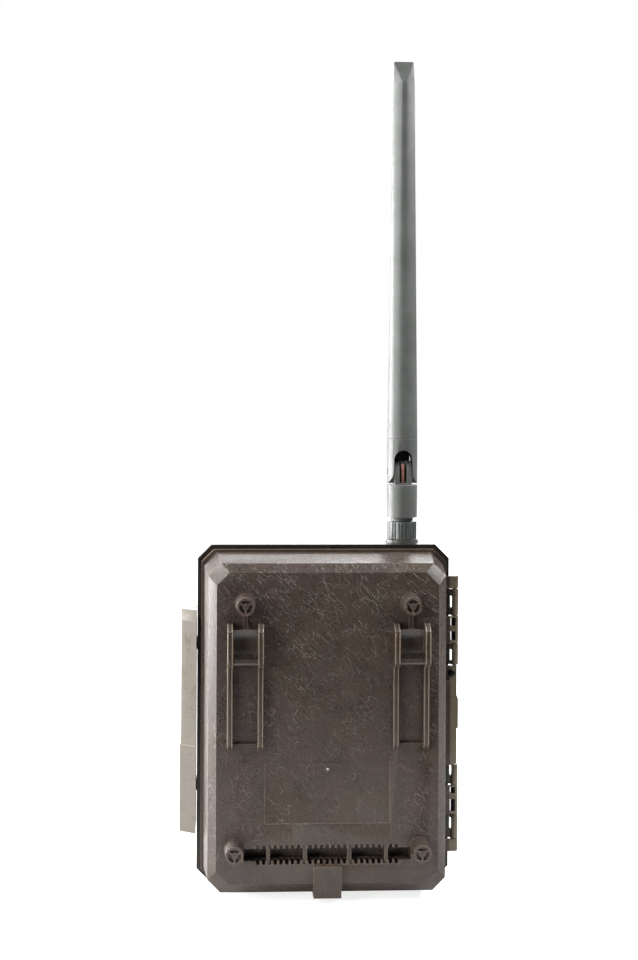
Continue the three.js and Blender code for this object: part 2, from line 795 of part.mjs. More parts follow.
function frontShell() {
  const antennaSeat = rodZ(seatRadius, antennaSeatZ - seatThickness, antennaSeatZ, wideSides);
  const jackHoleZ = [antennaSeatZ - seatThickness - through, antennaSeatZ + through];
  const jackHole = rodZ(jackRadius + seat, ...jackHoleZ, roundSides);
  const armY = [hingeY - knuckleRadius, seamY];
  const armX = -caseWidth / 2 + wall / 2;
  const posts = screwPlaces.map(([x, z]) => coverPost().translate([x, 0, z]));
  const ears = latchEars.map((z) => latchEar().translate([0, latchPinY, z]));
  const solid = join(
    frontBody(), antennaSeat.translate([antennaX, antennaY, 0]), ...posts, ...ears,
    ...frontKnuckles.map((row) => knuckle(row, armX, armY)),
  );
  const face = [frontFaceY - through, frontInsideY + through];
  const irHole = [irWidth / 2 - irLedge, irHeight / 2 - irLedge];
  const [irX, irHalf] = [irWidth / 2 + fit, irHeight / 2 + fit];
  return cut(
    solid,
    rodY(spigotBore, ...face, wideSides).translate([0, 0, lensZ]),
    rodY(pirRadius + fit, ...face, wideSides).translate([0, 0, pirZ]),
    rodY(statusRadius + fit / 2, ...face, smallSides).translate([statusX, 0, lensZ]),
    block([-irHole[0], irHole[0]], face, [irZ - irHole[1], irZ + irHole[1]]),
    block([-irX, irX], [face[0], frontFaceY + irThickness], [irZ - irHalf, irZ + irHalf]),
    bossBlock(seat),
    jackHole.translate([antennaX, antennaY, 0]),
    pinBore(upperPinZ), pinBore(lowerPinZ),
  );
}

// The boss let into the floor of the front half, grown by a clearance to cut its hole
function bossBlock(slack) {
  const [halfX, halfY] = [bossWidth / 2 + slack, bossDepth / 2 + slack];
  return block(
    [-halfX, halfX],
    [bossY - halfY, bossY + halfY],
    [groundZ - slack, groundZ + bossHeight + slack],
  );
}

function tripodBoss() {
  const socket = rodZ(socketRadius, groundZ - through, groundZ + socketDepth, roundSides);
  return cut(bossBlock(0), socket.translate([0, bossY, 0]));
}

// The latch outline around its pin, as points in X and Y; trim pulls the rear edge forward
function latchOutline(trim, step) {
  const [inner, outer] = [latchInnerX, latchInnerX + latchWidth + step];
  const rear = latchRearY - trim;
  const nose = [];
  for (let i = 0; i <= latchNoseSteps; i += 1) {
    const angle = Math.PI * (1 + i / (2 * latchNoseSteps));
    nose.push([latchPinX + latchPinInset * Math.cos(angle), latchPinY + latchPinInset * Math.sin(angle)]);
  }
  return [
    [inner, rear], ...nose,
    [outer - latchChamfer, latchPinY - latchPinInset], [outer, latchPinY - latchChamfer],
    [outer, rear - latchRearSlant],
  ];
}

function latchBar(z0, z1, step, topBevel) {
  const at = (points, z) => points.map(([x, y]) => new THREE.Vector3(x, y, z));
  return loft(
    at(latchOutline(0, step), z0),
    at(latchOutline(0, step), z1 - topBevel),
    at(latchOutline(topBevel, step), z1),
  );
}

function latchLever() {
  const bars = join(
    latchBar(latchSplitZ, latchTopZ, 0, latchBevel),
    latchBar(latchBottomZ, latchSplitZ, latchStep, 0),
  );
  const outer = latchInnerX + latchWidth - latchSkin;
  const front = latchPinY + latchEarRadius + latchSkin;
  const pocket = prismZ(outlineOf([
    [latchInnerX - through, front], [outer, front],
    [outer, latchRearY - latchRearSlant - latchSkin / 2], [latchInnerX - through, latchRearY - latchSkin],
  ]), latchBottomZ + latchSkin, latchTopZ - latchBevel);
  const clear = latchEarRadius + fit;
  const half = latchEarHeight / 2 + fit;
  const notches = latchEars.map((z) => block(
    [latchInnerX - through, latchPinX + clear],
    [latchPinY - latchPinInset - through, latchPinY + clear],
    [z - half, z + half],
  ));
  const bore = rodZ(latchPinRadius + fit, latchBottomZ - through, latchTopZ - latchBevel, pinSides);
  return cut(bars, pocket, ...notches, bore.translate([latchPinX, latchPinY, 0]));
}

// ---- Inner cover and its controls ----

function coverOpening(x, z, halfX, halfZ) {
  return block([x - halfX, x + halfX], [coverBackY - through, coverFaceY + through], [z - halfZ, z + halfZ]);
}

function innerCover() {
  const coverCut = innerCut(frontCornerCut, wall) - fit * cutShrink;
  const plate = loft(
    caseRing(coverInset, coverCut, coverBackY),
    caseRing(coverInset, coverCut, coverFaceY),
  );
  const standoff = rodY(standoffRadius, boardFaceY + seat, coverBackY + coverThickness / 2, smallSides);
  const [standX, standZ] = [mainBoardWidth / 2 - standoffInset, mainBoardHeight / 2 - standoffInset];
  const standPlaces = [-1, 1].flatMap((side) => [[side * standX, 0, standZ], [side * standX, 0, -standZ]]);
  const standoffs = copies(standoff, standPlaces);
  const buttonHole = rodY(buttonRadius + fit, coverBackY - through, coverFaceY + through, roundSides);
  const screwHole = rodY(coverScrewRadius + fit, coverBackY - through, coverFaceY + through, smallSides);
  const switchHalf = (switchTravel + knobWidth) / 2 + fit;
  const seatRelief = rodZ(seatRadius + fit, antennaSeatZ - seatThickness - fit, antennaSeatZ, roundSides);
  return cut(
    join(plate, ...standoffs),
    seatRelief.translate([antennaX, antennaY, 0]),
    coverOpening(0, screenZ, screenWidth / 2, screenHeight / 2),
    coverOpening(switchX + switchTravel / 2, switchZ, switchHalf, knobHeight / 2 + fit),
    coverOpening(cardSlotX, sdZ, sdCard[0] / 2 + fit, sdCard[2] / 2 + fit),
    coverOpening(-cardSlotX, simZ, simCard[0] / 2 + fit, simCard[2] / 2 + fit),
    ...buttonPlaces.map(([, x, z]) => buttonHole.translate([x, 0, z])),
    ...screwPlaces.map(([x, z]) => screwHole.translate([x, 0, z])),
  );
}

function coverScrew() {
  const head = rodY(coverScrewHeadRadius, coverFaceY + seat, coverFaceY + coverScrewRadius, pinSides);
  const shankY = [coverFaceY - coverScrewLength, coverFaceY + coverScrewRadius / 2];
  return join(head, rodY(coverScrewRadius, ...shankY, smallSides));
}

function lcdScreen() {
  const [halfX, halfZ] = [screenWidth / 2 - fit, screenHeight / 2 - fit];
  const backY = coverBackY - seat;
  const [bodyX, bodyZ] = [halfX + screenBorder, halfZ + screenBorder];
  const body = block([-bodyX, bodyX], [backY - screenThickness, backY], [-bodyZ, bodyZ]);
  return join(body, block([-halfX, halfX], [backY - through, coverFaceY - fit], [-halfZ, halfZ]));
}

function button() {
  const flangeY = coverBackY - fit;
  return join(
    rodY(buttonRadius, flangeY - buttonFlange / 2, coverFaceY + buttonProud, roundSides),
    rodY(buttonRadius + buttonFlange, flangeY - buttonFlange, flangeY, roundSides),
  );
}

function switchKnob() {
  const [halfX, halfZ] = [knobWidth / 2, knobHeight / 2];
  const flangeY = coverBackY - fit;
  return join(
    block([-halfX, halfX], [flangeY - buttonFlange, coverFaceY + cardProud], [-halfZ, halfZ]),
    block(
      [-halfX - knobFlange, halfX + knobFlange],
      [flangeY - buttonFlange, flangeY],
      [-halfZ - knobFlange, halfZ + knobFlange],
    ),
  );
}

function cardOf([thickness, length, width]) {
  const frontY = coverFaceY + cardProud;
  return block([-thickness / 2, thickness / 2], [frontY - length, frontY], [-width / 2, width / 2]);
}

function socketOf([thickness, length, width]) {
  const [halfX, halfZ] = [thickness / 2 + fit, width / 2 + fit];
  const endY = coverFaceY + cardProud - length - fit;
  const mouthY = coverBackY - seat;
  const shell = block(
    [-halfX - cardSleeve, halfX + cardSleeve],
    [endY - cardSleeve, mouthY],
    [-halfZ - cardSleeve, halfZ + cardSleeve],
  );
  return cut(shell, block([-halfX, halfX], [endY, mouthY + through], [-halfZ, halfZ]));
}

// ---- Boards and optics ----

function squareBoard(width, height, faceY) {
  return block([-width / 2, width / 2], [faceY - boardThickness, faceY], [-height / 2, height / 2]);
}

function irLedBoard() {
  const frontY = irBoardY - boardThickness;
  const board = squareBoard(irWidth - 2 * irLedge, irHeight - 2 * irLedge, irBoardY);
  const led = rodY(irLedRadius, frontY - irLedLength, frontY + boardThickness / 2, fineSides);
  const [pitchX, pitchZ] = irLedPitch;
  const places = [];
  for (let column = 0; column < irLedColumns; column += 1) {
    for (let row = 0; row < irLedRows; row += 1) {
      places.push([(column - (irLedColumns - 1) / 2) * pitchX, 0, (row - (irLedRows - 1) / 2) * pitchZ]);
    }
  }
  return join(board, ...copies(led, places));
}

function irHeatSink() {
  const [halfX, halfZ] = [irWidth / 2 - irLedge, irHeight / 2 - irLedge];
  return block([-halfX, halfX], [irBoardY + seat, irBoardY + heatSinkThickness], [-halfZ, halfZ]);
}

function lensBezel() {
  const ring = rodY(bezelRadius, frontFaceY - bezelProud, frontFaceY - seat, barrelSides);
  const spigot = rodY(spigotBore - fit, frontFaceY - bezelProud / 2, frontInsideY, wideSides);
  const boreY = [frontFaceY - bezelProud - through, frontInsideY + through];
  return cut(join(ring, spigot), rodY(lensRadius + fit, ...boreY, wideSides));
}

function lensBarrel() {
  const tube = rodY(lensRadius, lensFrontY, lensFrontY + lensLength, wideSides);
  const pocketY = [lensFrontY - through, lensFrontY + lensGlassThickness + seat];
  return cut(tube, rodY(lensGlassRadius + seat, ...pocketY, wideSides));
}

function pirLens() {
  const outer = [];
  const inner = [];
  for (let i = 0; i <= pirSteps; i += 1) {
    const angle = (Math.PI / 2) * (i / pirSteps);
    outer.push([pirRadius * Math.sin(angle), wall + pirProud * Math.cos(angle)]);
    inner.push([(pirRadius - pirSkin) * Math.sin(angle), wall + (pirProud - pirSkin) * Math.cos(angle)]);
  }
  outer[0][0] = 0;
  inner[0][0] = 0;
  const flangeRadius = pirRadius + pirFlange;
  const profile = [
    ...inner, [pirRadius - pirSkin, -pirFlange - seat], [flangeRadius, -pirFlange - seat],
    [flangeRadius, -seat], [pirRadius, -seat], ...outer.reverse(),
  ];
  return turned(profile, roundSides).rotate([90, 0, 0]).translate([0, frontInsideY, 0]);
}

function pirSensor() {
  const canY = [pirBoardY - boardThickness - pirCanHeight, pirBoardY - boardThickness / 2];
  const can = rodY(pirCanRadius, ...canY, roundSides);
  return join(can, squareBoard(pirBoardSize, pirBoardSize, pirBoardY));
}

function statusLed() {
  return join(
    rodY(statusRadius, frontFaceY - fit, frontInsideY + statusRadius, smallSides),
    rodY(statusFlangeRadius, frontInsideY + seat, frontInsideY + statusRadius, smallSides),
  );
}

// ---- Antenna, measured up from its seat ----

function antennaJack() {
  const underside = -seatThickness - seat;
  return join(
    rodZ(jackRadius, underside - jackFlangeHeight, jackThread, roundSides),
    rodZ(jackFlangeRadius, underside - jackFlangeHeight, underside, hexSides),
    rodZ(jackTailRadius, underside - jackFlangeHeight - jackTail, underside, smallSides),
  );
}

function jackRing() {
  return cut(
    rodZ(ringRadius, seat, ringHeight, wideSides),
    rodZ(jackRadius + seat, -through, ringHeight + through, roundSides),
  );
}

function couplingNut() {
  const lipZ = nutTopZ - nutLip;
  const flutes = [];
  for (let i = 0; i < nutFlutes; i += 1) {
    const angle = (2 * Math.PI * i) / nutFlutes;
    const flute = rodZ(nutFluteRadius, nutFootZ - through, nutTopZ + through, hexSides);
    flutes.push(flute.translate([nutRadius * Math.cos(angle), nutRadius * Math.sin(angle), 0]));
  }
  return cut(
    rodZ(nutRadius, nutFootZ, nutTopZ, barrelSides),
    rodZ(jackRadius + fit, nutFootZ - through, lipZ, roundSides),
    rodZ(spigotFlangeRadius + fit, jackThread + seat, lipZ, roundSides),
    rodZ(spigotRadius + fit, lipZ - through, nutTopZ + through, roundSides),
    ...flutes,
  );
}

function antennaBarrel() {
  const flangeZ = nutTopZ - nutLip - fit;
  const half = tongueWidth / 2;
  const tongue = join(
    block([-half, half], [-tongueRadius, tongueRadius], [barrelTopZ - through, pivotZ]),
    rodX(tongueRadius, -half, half, roundSides).translate([0, 0, pivotZ]),
  );
  const slit = block(
    [-coaxSlit / 2, coaxSlit / 2],
    [coaxSetback - coaxRadius - fit, tongueRadius + through],
    [slitFootZ, pivotZ + tongueRadius + through],
  );
  const pinHole = rodX(tiltPinRadius + fit, -half - through, half + through, pinSides)
    .translate([0, 0, pivotZ]);
  return join(
    rodZ(spigotFlangeRadius, flangeZ - spigotFlangeHeight, flangeZ, roundSides),
    rodZ(spigotRadius, flangeZ - spigotFlangeHeight, nutTopZ + neckHeight, roundSides),
    rodZ(neckRadius, nutTopZ + fit, barrelFootZ + through, wideSides),
    rodZ(barrelRadius, barrelFootZ, barrelTopZ, barrelSides),
    cut(tongue, slit, pinHole),
  );
}

function antennaCoax() {
  return rodZ(coaxRadius, slitFootZ + seat, pivotZ + coaxRise, smallSides).translate([0, coaxSetback, 0]);
}

// The fork and all above it are measured up from the tilt axis
function antennaFork() {
  const round = rodX(forkEndRadius, -barrelRadius - through, barrelRadius + through, wideSides);
  const foot = rodZ(barrelRadius, -forkEndRadius, 0, barrelSides).intersect(round);
  const slotHalf = tongueWidth / 2 + fit;
  const archY = [forkBack - barrelRadius, barrelRadius + through];
  const arch = join(
    block([-slotHalf, slotHalf], archY, [-forkEndRadius - through, forkArchTop - slotHalf]),
    rodY(slotHalf, ...archY, roundSides).translate([0, 0, forkArchTop - slotHalf]),
  );
  const pinHole = rodX(tiltPinRadius + seat, -barrelRadius - through, barrelRadius + through, pinSides);
  const plug = rodZ(forkPlugRadius, forkTop - through, forkTop + forkPlugLength, roundSides);
  return cut(join(rodZ(barrelRadius, 0, forkTop, barrelSides), foot, plug), arch, pinHole);
}

function tiltPin() {
  const half = barrelRadius - tiltPinRadius / 2;
  return rodX(tiltPinRadius, -half, half, pinSides);
}

// An eight-sided section with a narrow flat along its back and front
function bladeSection(width, depth, z, backTrim) {
  const [halfX, halfY] = [width / 2, depth / 2];
  const ridge = sleeveRidge / 2;
  const back = halfY - backTrim;
  return [
    [ridge, back], [-ridge, back], [halfX, Math.min(halfY * bladeShoulder, back)],
    [-halfX, Math.min(halfY * bladeShoulder, back)], [halfX, -halfY * bladeShoulder],
    [-halfX, -halfY * bladeShoulder], [ridge, -halfY], [-ridge, -halfY],
  ].map(([x, y]) => new THREE.Vector3(x, y, z));
}

function antennaSleeve() {
  const footZ = forkTop + seat;
  const topZ = footZ + sleeveLength;
  const foot = [];
  for (let i = 0; i < wideSides; i += 1) {
    const angle = (2 * Math.PI * i) / wideSides;
    foot.push(new THREE.Vector3(barrelRadius * Math.cos(angle), barrelRadius * Math.sin(angle), footZ));
  }
  const body = loft(
    foot,
    bladeSection(sleeveTipWidth, sleeveTipDepth, topZ - sleeveTopFacet, 0),
    bladeSection(sleeveTipWidth - sleeveTipTaper, sleeveTipDepth, topZ, sleeveTipDepth / 2),
  );
  return cut(
    body,
    rodZ(forkPlugRadius + seat, footZ - through, footZ + forkPlugLength + fit, roundSides),
    rodZ(sleeveBoreRadius, footZ, topZ - sleeveTopFacet - sleeveEnd, pinSides),
  );
}

function antennaElement() {
  const z0 = forkTop + forkPlugLength + 2 * seat;
  const z1 = forkTop + sleeveLength - sleeveTopFacet - sleeveEnd - fit;
  const [halfX, halfY] = [elementWidth / 2, elementThickness / 2];
  return block([-halfX, halfX], [-halfY, halfY], [z0, z1]);
}

// ---- Assembly ----

function rearHalf() {
  const group = new THREE.Group();
  const ventPlug = rodY(ventRadius, rearInsideY, panelY - labelDepth, pinSides);
  group.add(
    mesh('rear_shell', rearShell(), 'case'),
    place(mesh('strap_loop_left', strapLoop(), 'smooth'), upperPegX, panelY, 0),
    place(mesh('strap_loop_right', strapLoop(), 'smooth'), -upperPegX, panelY, 0),
    mesh('rim_gasket', gasketRing(0), 'rubber'),
    hingePin('hinge_pin_upper', upperPinZ),
    hingePin('hinge_pin_lower', lowerPinZ),
    place(mesh('hinge_screw', hingeScrew(), 'blackSteel'), hingeScrewX, 0, hingeScrewZ),
    place(mesh('vent_plug', ventPlug, 'white'), 0, 0, ventZ),
    mesh('battery_tray', batteryTray(), 'inner'),
  );
  const stripPlaces = { bottom: -stripZ, middle: 0, top: stripZ };
  for (const [name, z] of Object.entries(stripPlaces)) {
    group.add(place(mesh(`contact_strip_${name}`, contactStrip(), 'nickel'), 0, 0, z));
  }
  for (let i = 0; i < 2 * cellColumns; i += 1) {
    const column = i % cellColumns;
    const cell = mesh(`battery_cell_${i + 1}`, batteryCell(), 'cell');
    if (column % 2 === 1) cell.rotation.y = Math.PI;
    const x = (column - (cellColumns - 1) / 2) * cellPitch;
    group.add(place(cell, x, cellY, i < cellColumns ? cellZ : -cellZ));
  }
  return group;
}

function opticsGroup() {
  const group = new THREE.Group();
  const glass = rodY(lensGlassRadius, lensFrontY, lensFrontY + lensGlassThickness, wideSides);
  const irHalf = [irWidth / 2, irHeight / 2];
  const irY = [frontFaceY + seat, frontFaceY + irThickness - seat];
  const irPane = block([-irHalf[0], irHalf[0]], irY, [-irHalf[1], irHalf[1]]);
  const cameraBoard = squareBoard(cameraBoardSize, cameraBoardSize, cameraBoardY);
  group.add(
    place(mesh('ir_window', irPane, 'irPanel'), 0, 0, irZ),
    place(mesh('ir_led_board', irLedBoard(), 'board'), 0, 0, irZ),
    place(mesh('ir_heat_sink', irHeatSink(), 'steel'), 0, 0, irZ),
    place(mesh('lens_bezel', lensBezel(), 'dark'), 0, 0, lensZ),
    place(mesh('lens_barrel', lensBarrel(), 'dark'), 0, 0, lensZ),
    place(mesh('lens_glass', glass, 'glass'), 0, 0, lensZ),
    place(mesh('camera_board', cameraBoard, 'board'), 0, 0, lensZ),
    place(mesh('pir_lens', pirLens(), 'pir'), 0, 0, pirZ),
    place(mesh('pir_sensor', pirSensor(), 'nickel'), 0, 0, pirZ),
    place(mesh('status_led', statusLed(), 'switch'), statusX, 0, lensZ),
  );
  return group;
}

function controlsGroup() {
  const group = new THREE.Group();
  group.add(
    mesh('inner_cover', innerCover(), 'inner'),
    place(mesh('lcd_screen', lcdScreen(), 'screen'), 0, 0, screenZ),
    mesh('main_board', squareBoard(mainBoardWidth, mainBoardHeight, boardFaceY), 'board'),
    place(mesh('power_switch_knob', switchKnob(), 'switch'), switchX, 0, switchZ),
    place(mesh('sd_card', cardOf(sdCard), 'card'), cardSlotX, 0, sdZ),
    place(mesh('sd_socket', socketOf(sdCard), 'steel'), cardSlotX, 0, sdZ),
    place(mesh('sim_card', cardOf(simCard), 'white'), -cardSlotX, 0, simZ),
    place(mesh('sim_socket', socketOf(simCard), 'steel'), -cardSlotX, 0, simZ),
  );
  for (const [name, x, z] of buttonPlaces) {
    group.add(place(mesh(`button_${name}`, button(), 'button'), x, 0, z));
  }
  screwPlaces.forEach(([x, z], i) => {
    group.add(place(mesh(`inner_cover_screw_${i + 1}`, coverScrew(), 'steel'), x, 0, z));
  });
  return group;
}

function antennaGroup() {
  const group = new THREE.Group();
  group.position.set(antennaX, antennaY, antennaSeatZ);
  const blade = new THREE.Group();
  blade.position.z = pivotZ;
  blade.add(
    mesh('antenna_fork', antennaFork(), 'antenna'),
    mesh('antenna_tilt_pin', tiltPin(), 'blackSteel'),
    mesh('antenna_sleeve', antennaSleeve(), 'antenna'),
    mesh('antenna_element', antennaElement(), 'board'),
  );
  group.add(
    mesh('antenna_jack', antennaJack(), 'brass'),
    mesh('jack_ring', jackRing(), 'dark'),
    mesh('coupling_nut', couplingNut(), 'dark'),
    mesh('antenna_barrel', antennaBarrel(), 'antenna'),
    mesh('antenna_coax', antennaCoax(), 'coax'),
    blade,
  );
  return group;
}

function frontHalf() {
  const group = new THREE.Group();
  const pin = rodZ(latchPinRadius, latchBottomZ + latchSkin, latchTopZ - latchBevel - latchSkin, pinSides);
  group.add(
    mesh('front_shell', frontShell(), 'case'),
    mesh('tripod_boss', tripodBoss(), 'case'),
    place(mesh('latch_pin', pin, 'steel'), latchPinX, latchPinY, 0),
    mesh('latch_lever', latchLever(), 'case'),
    opticsGroup(),
    controlsGroup(),
    antennaGroup(),
  );
  return group;
}

const camera = new THREE.Group();
camera.position.z = caseHeight / 2;
camera.add(rearHalf(), frontHalf());

export default camera;
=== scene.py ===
import json
import math

import bmesh
import bpy
from mathutils import Matrix, Vector
from mathutils.bvhtree import BVHTree


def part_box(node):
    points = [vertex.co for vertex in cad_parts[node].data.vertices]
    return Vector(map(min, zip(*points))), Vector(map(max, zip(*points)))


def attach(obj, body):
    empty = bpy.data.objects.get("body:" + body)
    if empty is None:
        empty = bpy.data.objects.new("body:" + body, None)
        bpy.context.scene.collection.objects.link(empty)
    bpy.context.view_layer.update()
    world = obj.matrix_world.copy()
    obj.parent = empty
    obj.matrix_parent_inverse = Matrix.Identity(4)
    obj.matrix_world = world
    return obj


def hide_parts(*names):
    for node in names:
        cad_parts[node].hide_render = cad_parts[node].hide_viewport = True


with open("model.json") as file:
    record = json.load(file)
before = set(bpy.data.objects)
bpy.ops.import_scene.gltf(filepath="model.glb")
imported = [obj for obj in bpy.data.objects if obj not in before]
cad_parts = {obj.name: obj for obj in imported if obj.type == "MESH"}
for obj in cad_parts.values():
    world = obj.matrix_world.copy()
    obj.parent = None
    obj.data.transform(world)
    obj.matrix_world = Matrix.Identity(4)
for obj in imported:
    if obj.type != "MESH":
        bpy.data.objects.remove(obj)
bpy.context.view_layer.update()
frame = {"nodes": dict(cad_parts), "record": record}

MM = 0.001
SLOT_OF = {p["node"]: p["material_slot"] for p in frame["record"]["subparts"]}
BODY_OF = {
    node: body
    for body, nodes in frame["record"]["behaviour"]["bodies"].items()
    for node in nodes
}

# Where the case's finish, its painted shade and its painted highlights change, in millimetres. A pair is
# where a change starts and ends.
vent_low, vent_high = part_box("vent_plug")
PANEL_FOOT_Z = vent_low.z / MM - 36.3
# The label recess's top edge, which lies in shade: the painted edge highlight is left off it.
LABEL_TOP_Z = (vent_low.z + vent_high.z) / 2 / MM + 3.3
LABEL_SIDE_X = (25.0, 26.0)
SEAM_Y = 1.0
RIM_REACH = (5.2, 6.4)
# Where the hinge knuckles' painted highlight starts and ends.
HINGE_HIGHLIGHT_X = (-51.6, -51.0)
# Where the painted shade on the front shell's rim fades out towards the hinge.
RIM_SHADE_X = (-51.2, -50.8)
BELOW_EVERYTHING = -100.0

# Reach of the paler edges, partly wear and partly a painted highlight.
PALE_EDGE_RADIUS = 0.4 * MM
SHARP_ANGLE = math.radians(35)


# ---- Material helpers ----

class Shader:
    """A material's node tree, built a node at a time."""

    def __init__(self, name):
        self.material = bpy.data.materials.new(name)
        self.material.use_nodes = True
        self.tree = self.material.node_tree
        self.surface = self.tree.nodes["Principled BSDF"]
        self.place = self.add("ShaderNodeTexCoord").outputs["Object"]
        self.mm = self.mapped((1 / MM,) * 3)

    def add(self, kind, **values):
        node = self.tree.nodes.new(kind)
        for key, value in values.items():
            setattr(node, key, value)
        return node

    def link(self, source, target):
        self.tree.links.new(source, target)

    def fill(self, socket, value):
        """Links a socket to another socket, or sets it to a number or vector."""
        if isinstance(value, bpy.types.NodeSocket):
            self.link(value, socket)
        else:
            socket.default_value = value

    def put(self, node, **values):
        for key, value in values.items():
            self.fill(node.inputs[key.replace("_", " ")], value)

    def mapped(self, scale, turn=(0, 0, 0), source=None):
        """Object coordinates, or the source, times scale after a turn."""
        first = self.add("ShaderNodeMapping", vector_type="POINT")
        self.put(first, Rotation=turn, Vector=source or self.place)
        second = self.add("ShaderNodeMapping", vector_type="POINT")
        self.put(second, Scale=scale, Vector=first.outputs["Vector"])
        return second.outputs["Vector"]

    def noise(self, vector, scale, detail=2.0, roughness=0.5):
        node = self.add("ShaderNodeTexNoise")
        self.put(node, Vector=vector, Scale=scale, Detail=detail, Roughness=roughness)
        return node.outputs["Fac"]

    def cell_edges(self, vector, scale):
        """Distance to the nearest border between irregular cells."""
        node = self.add("ShaderNodeTexVoronoi", feature="DISTANCE_TO_EDGE")
        self.put(node, Vector=vector, Scale=scale)
        return node.outputs["Distance"]

    def ramp(self, value, low, high, start=0.0, end=1.0):
        """Runs smoothly from start, where value is low, to end, where it is high."""
        node = self.add("ShaderNodeMapRange", interpolation_type="SMOOTHSTEP")
        names = ("From Min", "From Max", "To Min", "To Max")
        for name, number in zip(names, (low, high, start, end)):
            node.inputs[name].default_value = number
        self.link(value, node.inputs["Value"])
        return node.outputs["Result"]

    def math(self, operation, a, b=0.0):
        node = self.add("ShaderNodeMath", operation=operation)
        self.fill(node.inputs[0], a)
        self.fill(node.inputs[1], b)
        return node.outputs["Value"]

    def times(self, a, b):
        return self.math("MULTIPLY", a, b)

    def away_from(self, axis, middle):
        """Distance in millimetres from a plane across one axis."""
        return self.math("ABSOLUTE", self.math("SUBTRACT", self.coordinate(axis), middle))

    def blend(self, factor, a, b):
        """Colour a where factor is 0 and b where it is 1."""
        node = self.add("ShaderNodeMix", data_type="RGBA")
        factor_socket, a_socket, b_socket = node.inputs[0], node.inputs[6], node.inputs[7]
        self.fill(factor_socket, factor)
        for socket, colour in ((a_socket, a), (b_socket, b)):
            self.fill(socket, (*colour, 1.0) if isinstance(colour, tuple) else colour)
        return node.outputs[2]

    def warped(self, vector, amount, scale):
        """The vector moved about by a smooth noise."""
        node = self.add("ShaderNodeTexNoise")
        self.put(node, Vector=vector, Scale=scale, Detail=1.0)
        shift = self.add("ShaderNodeVectorMath", operation="MULTIPLY_ADD")
        self.link(node.outputs["Color"], shift.inputs[0])
        shift.inputs[1].default_value = (amount, amount, amount)
        self.link(vector, shift.inputs[2])
        return shift.outputs["Vector"]

    def coordinate(self, axis):
        """One object coordinate, in millimetres."""
        split = self.add("ShaderNodeSeparateXYZ")
        self.link(self.place, split.inputs["Vector"])
        return self.times(split.outputs[axis], 1 / MM)

    def wear_and_highlight_edges(self):
        """1 on sharp outer edges, 0 on flats: where edges are painted paler, partly wear and partly a
        painted highlight.
        """
        bevel = self.add("ShaderNodeBevel", samples=4)
        bevel.inputs["Radius"].default_value = PALE_EDGE_RADIUS
        normal = self.add("ShaderNodeNewGeometry").outputs["Normal"]
        dot = self.add("ShaderNodeVectorMath", operation="DOT_PRODUCT")
        self.link(bevel.outputs["Normal"], dot.inputs[0])
        self.link(normal, dot.inputs[1])
        return self.ramp(self.math("SUBTRACT", 1.0, dot.outputs["Value"]), 0.02, 0.25)

    def bump(self, value, distance, strength, after=None):
        """A surface normal with value as its height, on top of an earlier bump."""
        node = self.add("ShaderNodeBump")
        self.put(node, Height=value, Strength=strength, Distance=distance)
        if after is not None:
            self.link(after, node.inputs["Normal"])
        return node.outputs["Normal"]


def srgb(red, green, blue):
    def channel(value):
        value /= 255
        return value / 12.92 if value <= 0.04045 else ((value + 0.055) / 1.055) ** 2.4
    return tuple(channel(v) for v in (red, green, blue))


def moulded(name, colour, wear_and_highlight, roughness, grain, depth, specular=0.5):
    """Moulded plastic: faint mottling, fine grain (depth in mm), uneven gloss and paler edges, partly wear
    and partly a painted highlight.
    """
    s = Shader(name)
    mottle = s.noise(s.mm, 0.09, 4.0, 0.6)
    speck = s.noise(s.mm, grain, 3.0, 0.6)
    deeper = tuple(c * 0.78 for c in colour)
    base = s.blend(s.ramp(mottle, 0.35, 0.68), deeper, colour)
    # Paler edges: partly wear, partly a painted highlight.
    base = s.blend(s.times(s.wear_and_highlight_edges(), 0.55), base, wear_and_highlight)
    smear = s.math("ADD", s.noise(s.mm, 0.35, 3.0, 0.65), s.times(speck, 0.3))
    gloss = s.ramp(smear, 0.4, 0.9, roughness * 0.82, roughness * 1.2)
    s.put(s.surface, Base_Color=base, Roughness=gloss, IOR=1.5, Specular_IOR_Level=specular)
    s.put(s.surface, Normal=s.bump(speck, depth * MM, 0.7))
    return s.material


def metal(name, colour, roughness, stretch=(1.0, 1.0, 14.0)):
    """Metal with fine drawn lines and a few dull patches."""
    s = Shader(name)
    lines = s.noise(s.mapped(tuple(v / MM for v in stretch)), 1.4, 3.0, 0.7)
    patches = s.noise(s.mm, 0.3, 3.0, 0.6)
    dull = tuple(c * 0.62 for c in colour)
    base = s.blend(s.ramp(patches, 0.4, 0.75), colour, dull)
    gloss = s.ramp(s.math("ADD", lines, patches), 0.7, 1.4, roughness * 0.7, roughness * 1.4)
    s.put(s.surface, Base_Color=base, Roughness=gloss, Metallic=1.0)
    s.put(s.surface, Normal=s.bump(lines, 0.004 * MM, 0.6))
    return s.material


